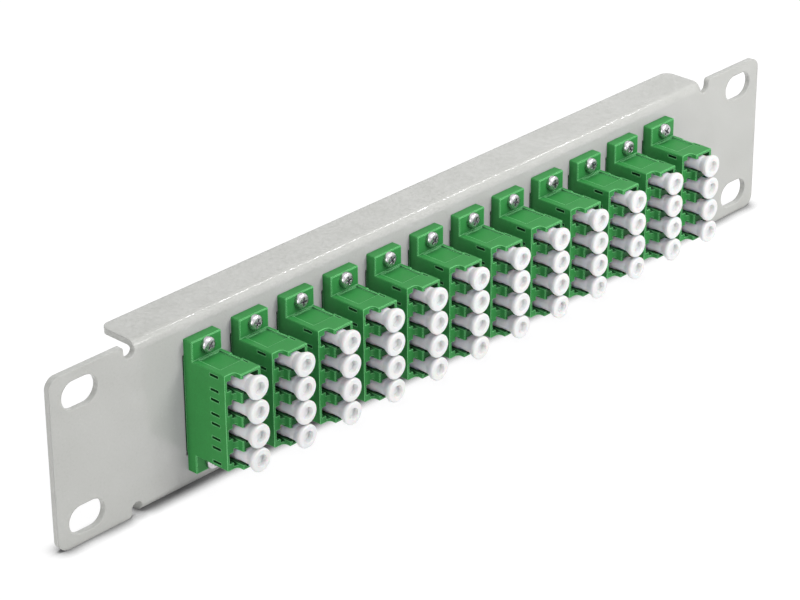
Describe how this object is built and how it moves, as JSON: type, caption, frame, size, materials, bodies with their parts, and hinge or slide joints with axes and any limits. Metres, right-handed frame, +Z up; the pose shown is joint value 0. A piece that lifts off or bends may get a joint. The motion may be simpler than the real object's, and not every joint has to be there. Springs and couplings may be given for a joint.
{
  "type": "fibre patch panel",
  "caption": "Folded steel half-width rack panel carrying a row of green vertical fibre adapters, each with small square ports closed by white pull-out dust caps.",
  "frame": {"origin": "centre of the front face of the sheet, which is also the centre of the four rack slots", "axes": "+X along the panel to the right seen from the front, +Y to the rear of the rack, +Z up"},
  "size_m": [0.254, 0.0355, 0.044],
  "materials": {
    "panel_paint": "light grey powder coat with a fine orange-peel texture",
    "adapter_green": "green moulded plastic, satin",
    "cap_white": "soft white moulded plastic, satin",
    "screw_steel": "bright nickel-plated steel",
    "sleeve_ceramic": "polished white ceramic"
  },
  "bodies": {
    "panel_and_adapters": {"panel": "panel_paint", "adapter_front_01": "adapter_green", "adapter_front_02": "adapter_green", "adapter_front_03": "adapter_green", "adapter_front_04": "adapter_green", "adapter_front_05": "adapter_green", "adapter_front_06": "adapter_green", "adapter_front_07": "adapter_green", "adapter_front_08": "adapter_green", "adapter_front_09": "adapter_green", "adapter_front_10": "adapter_green", "adapter_front_11": "adapter_green", "adapter_front_12": "adapter_green", "adapter_rear_01": "adapter_green", "adapter_rear_02": "adapter_green", "adapter_rear_03": "adapter_green", "adapter_rear_04": "adapter_green", "adapter_rear_05": "adapter_green", "adapter_rear_06": "adapter_green", "adapter_rear_07": "adapter_green", "adapter_rear_08": "adapter_green", "adapter_rear_09": "adapter_green", "adapter_rear_10": "adapter_green", "adapter_rear_11": "adapter_green", "adapter_rear_12": "adapter_green", "alignment_sleeves": "sleeve_ceramic", "flange_screws": "screw_steel", "screw_nuts": "screw_steel"},
    "front_cap_set_01": {"front_caps_01": "cap_white"},
    "front_cap_set_02": {"front_caps_02": "cap_white"},
    "front_cap_set_03": {"front_caps_03": "cap_white"},
    "front_cap_set_04": {"front_caps_04": "cap_white"},
    "front_cap_set_05": {"front_caps_05": "cap_white"},
    "front_cap_set_06": {"front_caps_06": "cap_white"},
    "front_cap_set_07": {"front_caps_07": "cap_white"},
    "front_cap_set_08": {"front_caps_08": "cap_white"},
    "front_cap_set_09": {"front_caps_09": "cap_white"},
    "front_cap_set_10": {"front_caps_10": "cap_white"},
    "front_cap_set_11": {"front_caps_11": "cap_white"},
    "front_cap_set_12": {"front_caps_12": "cap_white"},
    "rear_cap_set_01": {"rear_caps_01": "cap_white"},
    "rear_cap_set_02": {"rear_caps_02": "cap_white"},
    "rear_cap_set_03": {"rear_caps_03": "cap_white"},
    "rear_cap_set_04": {"rear_caps_04": "cap_white"},
    "rear_cap_set_05": {"rear_caps_05": "cap_white"},
    "rear_cap_set_06": {"rear_caps_06": "cap_white"},
    "rear_cap_set_07": {"rear_caps_07": "cap_white"},
    "rear_cap_set_08": {"rear_caps_08": "cap_white"},
    "rear_cap_set_09": {"rear_caps_09": "cap_white"},
    "rear_cap_set_10": {"rear_caps_10": "cap_white"},
    "rear_cap_set_11": {"rear_caps_11": "cap_white"},
    "rear_cap_set_12": {"rear_caps_12": "cap_white"}
  },
  "joints": [
    {"name": "front_caps_01_pull", "type": "slide", "parent": "panel_and_adapters", "child": "front_cap_set_01", "axis": [0, -1, 0], "range_m": [0, 0.012]},
    {"name": "front_caps_02_pull", "type": "slide", "parent": "panel_and_adapters", "child": "front_cap_set_02", "axis": [0, -1, 0], "range_m": [0, 0.012]},
    {"name": "front_caps_03_pull", "type": "slide", "parent": "panel_and_adapters", "child": "front_cap_set_03", "axis": [0, -1, 0], "range_m": [0, 0.012]},
    {"name": "front_caps_04_pull", "type": "slide", "parent": "panel_and_adapters", "child": "front_cap_set_04", "axis": [0, -1, 0], "range_m": [0, 0.012]},
    {"name": "front_caps_05_pull", "type": "slide", "parent": "panel_and_adapters", "child": "front_cap_set_05", "axis": [0, -1, 0], "range_m": [0, 0.012]},
    {"name": "front_caps_06_pull", "type": "slide", "parent": "panel_and_adapters", "child": "front_cap_set_06", "axis": [0, -1, 0], "range_m": [0, 0.012]},
    {"name": "front_caps_07_pull", "type": "slide", "parent": "panel_and_adapters", "child": "front_cap_set_07", "axis": [0, -1, 0], "range_m": [0, 0.012]},
    {"name": "front_caps_08_pull", "type": "slide", "parent": "panel_and_adapters", "child": "front_cap_set_08", "axis": [0, -1, 0], "range_m": [0, 0.012]},
    {"name": "front_caps_09_pull", "type": "slide", "parent": "panel_and_adapters", "child": "front_cap_set_09", "axis": [0, -1, 0], "range_m": [0, 0.012]},
    {"name": "front_caps_10_pull", "type": "slide", "parent": "panel_and_adapters", "child": "front_cap_set_10", "axis": [0, -1, 0], "range_m": [0, 0.012]},
    {"name": "front_caps_11_pull", "type": "slide", "parent": "panel_and_adapters", "child": "front_cap_set_11", "axis": [0, -1, 0], "range_m": [0, 0.012]},
    {"name": "front_caps_12_pull", "type": "slide", "parent": "panel_and_adapters", "child": "front_cap_set_12", "axis": [0, -1, 0], "range_m": [0, 0.012]},
    {"name": "rear_caps_01_pull", "type": "slide", "parent": "panel_and_adapters", "child": "rear_cap_set_01", "axis": [0, 1, 0], "range_m": [0, 0.012]},
    {"name": "rear_caps_02_pull", "type": "slide", "parent": "panel_and_adapters", "child": "rear_cap_set_02", "axis": [0, 1, 0], "range_m": [0, 0.012]},
    {"name": "rear_caps_03_pull", "type": "slide", "parent": "panel_and_adapters", "child": "rear_cap_set_03", "axis": [0, 1, 0], "range_m": [0, 0.012]},
    {"name": "rear_caps_04_pull", "type": "slide", "parent": "panel_and_adapters", "child": "rear_cap_set_04", "axis": [0, 1, 0], "range_m": [0, 0.012]},
    {"name": "rear_caps_05_pull", "type": "slide", "parent": "panel_and_adapters", "child": "rear_cap_set_05", "axis": [0, 1, 0], "range_m": [0, 0.012]},
    {"name": "rear_caps_06_pull", "type": "slide", "parent": "panel_and_adapters", "child": "rear_cap_set_06", "axis": [0, 1, 0], "range_m": [0, 0.012]},
    {"name": "rear_caps_07_pull", "type": "slide", "parent": "panel_and_adapters", "child": "rear_cap_set_07", "axis": [0, 1, 0], "range_m": [0, 0.012]},
    {"name": "rear_caps_08_pull", "type": "slide", "parent": "panel_and_adapters", "child": "rear_cap_set_08", "axis": [0, 1, 0], "range_m": [0, 0.012]},
    {"name": "rear_caps_09_pull", "type": "slide", "parent": "panel_and_adapters", "child": "rear_cap_set_09", "axis": [0, 1, 0], "range_m": [0, 0.012]},
    {"name": "rear_caps_10_pull", "type": "slide", "parent": "panel_and_adapters", "child": "rear_cap_set_10", "axis": [0, 1, 0], "range_m": [0, 0.012]},
    {"name": "rear_caps_11_pull", "type": "slide", "parent": "panel_and_adapters", "child": "rear_cap_set_11", "axis": [0, 1, 0], "range_m": [0, 0.012]},
    {"name": "rear_caps_12_pull", "type": "slide", "parent": "panel_and_adapters", "child": "rear_cap_set_12", "axis": [0, 1, 0], "range_m": [0, 0.012]}
  ]
}
